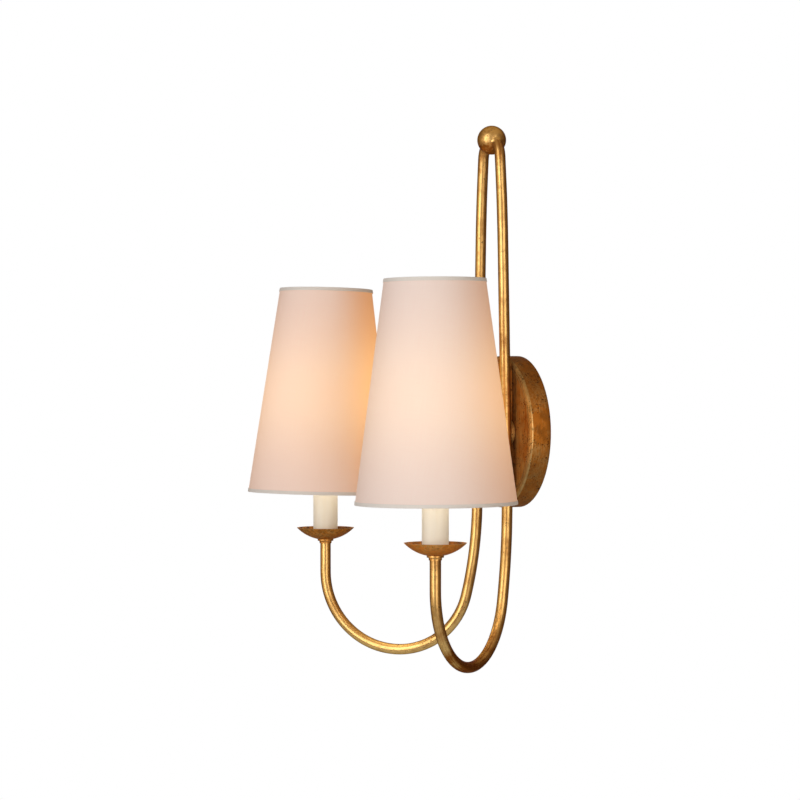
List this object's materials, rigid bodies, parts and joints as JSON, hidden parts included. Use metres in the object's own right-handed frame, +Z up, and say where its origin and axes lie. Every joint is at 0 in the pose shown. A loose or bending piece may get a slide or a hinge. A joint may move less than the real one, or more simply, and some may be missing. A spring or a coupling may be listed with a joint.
{
  "type": "wall sconce",
  "caption": "Wall sconce with paired looped arms under a ball-topped arch, each with a drip cup, candle sleeve and tapered linen shade.",
  "frame": {"origin": "centre of the backplate on the wall plane", "axes": "+Z up, +Y into the wall (the room is at -Y), +X to the right of someone facing the wall"},
  "size_m": [0.3826, 0.2046, 0.4705],
  "materials": {
    "gilded_iron": "antique gilt over brown, rubbed satin with dark pits",
    "zinc_steel": "zinc plated",
    "earth_green": "green passivated",
    "black_insulation": "satin",
    "white_insulation": "satin",
    "wire_nut_plastic": "moulded, semi-gloss",
    "bare_copper": "bare drawn copper",
    "lead_jacket": "satin",
    "phenolic": "moulded, semi-gloss",
    "plain_brass": "bright pressed",
    "candle_ivory": "satin ivory",
    "bulb_glass": "clear",
    "nickel_shell": "nickel plated, rolled thread",
    "black_vitrite": "glassy black",
    "solder": "dull solder",
    "stem_glass": "clear pressed",
    "filament_glow": "glowing rods",
    "linen": "fine white linen laminated on a stiff backing",
    "ring_wire": "white coated wire",
    "trim_tape": "pale binding tape"
  },
  "bodies": {
    "wall_frame": {"backplate": "gilded_iron", "wall_crossbar": "zinc_steel", "earth_screw": "earth_green", "centre_nipple": "zinc_steel", "crossbar_locknut": "zinc_steel", "dome_nut": "gilded_iron", "bridge_bar": "gilded_iron", "finial_ball": "gilded_iron", "line_conductors": "black_insulation", "neutral_conductors": "white_insulation", "wire_nuts": "wire_nut_plastic", "earth_wire": "bare_copper", "right_arm_tube": "gilded_iron", "right_arm_collar": "gilded_iron", "right_arm_nipple": "zinc_steel", "right_arm_lead": "lead_jacket", "right_drip_cup": "gilded_iron", "right_cup_nut": "zinc_steel", "right_socket_stem": "zinc_steel", "right_socket_body": "phenolic", "right_socket_shell": "plain_brass", "right_socket_contact": "plain_brass", "left_arm_tube": "gilded_iron", "left_arm_collar": "gilded_iron", "left_arm_nipple": "zinc_steel", "left_arm_lead": "lead_jacket", "left_drip_cup": "gilded_iron", "left_cup_nut": "zinc_steel", "left_socket_stem": "zinc_steel", "left_socket_body": "phenolic", "left_socket_shell": "plain_brass", "left_socket_contact": "plain_brass"},
    "right_sleeve": {"right_candle_sleeve": "candle_ivory"},
    "right_bulb": {"right_bulb_glass": "bulb_glass", "right_bulb_base": "nickel_shell", "right_bulb_insulator": "black_vitrite", "right_bulb_tip": "solder", "right_bulb_stem": "stem_glass", "right_bulb_filaments": "filament_glow"},
    "right_shade": {"right_shade_cover": "linen", "right_shade_bottom_ring": "ring_wire", "right_shade_top_ring": "ring_wire", "right_shade_bottom_trim": "trim_tape", "right_shade_top_trim": "trim_tape", "right_bulb_clip": "ring_wire", "right_shade_spider": "ring_wire"},
    "left_sleeve": {"left_candle_sleeve": "candle_ivory"},
    "left_bulb": {"left_bulb_glass": "bulb_glass", "left_bulb_base": "nickel_shell", "left_bulb_insulator": "black_vitrite", "left_bulb_tip": "solder", "left_bulb_stem": "stem_glass", "left_bulb_filaments": "filament_glow"},
    "left_shade": {"left_shade_cover": "linen", "left_shade_bottom_ring": "ring_wire", "left_shade_top_ring": "ring_wire", "left_shade_bottom_trim": "trim_tape", "left_shade_top_trim": "trim_tape", "left_bulb_clip": "ring_wire", "left_shade_spider": "ring_wire"}
  },
  "joints": [
    {"name": "right_bulb_unscrew", "type": "slide", "parent": "wall_frame", "child": "right_bulb", "axis": [0, 0, 1], "range_m": [0, 0.03]},
    {"name": "right_shade_lift", "type": "slide", "parent": "right_bulb", "child": "right_shade", "axis": [0, 0, 1], "range_m": [0, 0.15]},
    {"name": "right_sleeve_lift", "type": "slide", "parent": "wall_frame", "child": "right_sleeve", "axis": [0, 0, 1], "range_m": [0, 0.003]},
    {"name": "left_bulb_unscrew", "type": "slide", "parent": "wall_frame", "child": "left_bulb", "axis": [0, 0, 1], "range_m": [0, 0.03]},
    {"name": "left_shade_lift", "type": "slide", "parent": "left_bulb", "child": "left_shade", "axis": [0, 0, 1], "range_m": [0, 0.15]},
    {"name": "left_sleeve_lift", "type": "slide", "parent": "wall_frame", "child": "left_sleeve", "axis": [0, 0, 1], "range_m": [0, 0.003]}
  ]
}
